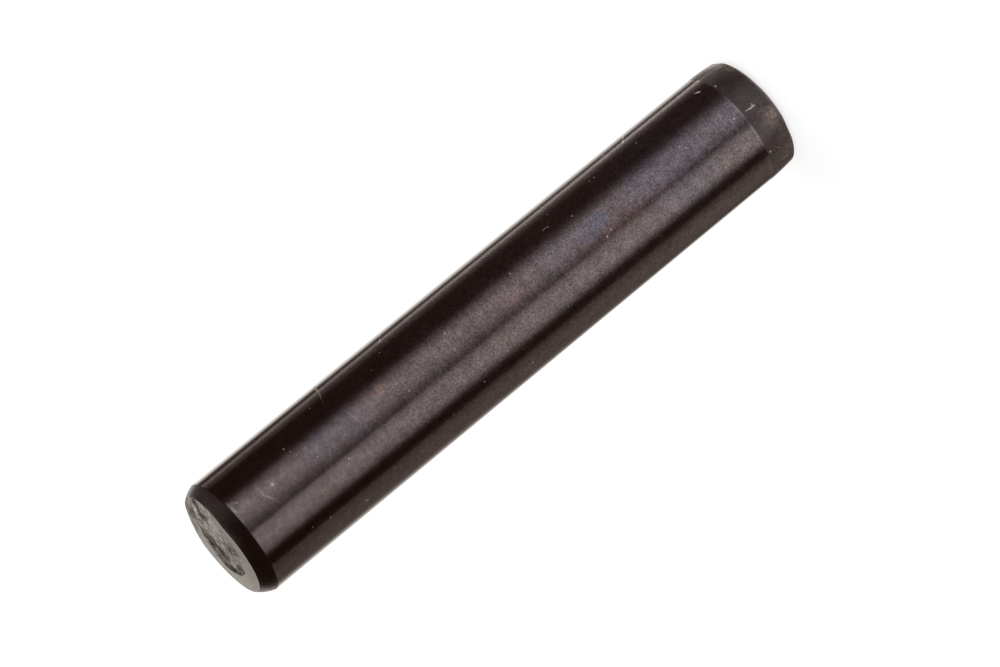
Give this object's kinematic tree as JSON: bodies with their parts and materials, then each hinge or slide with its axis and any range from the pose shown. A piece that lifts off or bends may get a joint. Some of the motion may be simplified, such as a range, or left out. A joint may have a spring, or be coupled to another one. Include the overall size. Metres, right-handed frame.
{
  "type": "dowel pin",
  "caption": "Plain round dowel pin of blackened hardened steel, with a ground shank, a chamfered drive end with a rough sheared centre, and an unground, slightly tapering lead end.",
  "frame": {"origin": "centre of the flat lead face, which the pin stands on", "axes": "+Z along the pin to its drive end, +X towards the run-out of the sheared drive face, +Y square to both"},
  "size_m": [0.01, 0.01, 0.055],
  "materials": {
    "blackened_steel": "satin, ground and blackened"
  },
  "bodies": {
    "root": {"dowel_pin": "blackened_steel"}
  },
  "joints": []
}
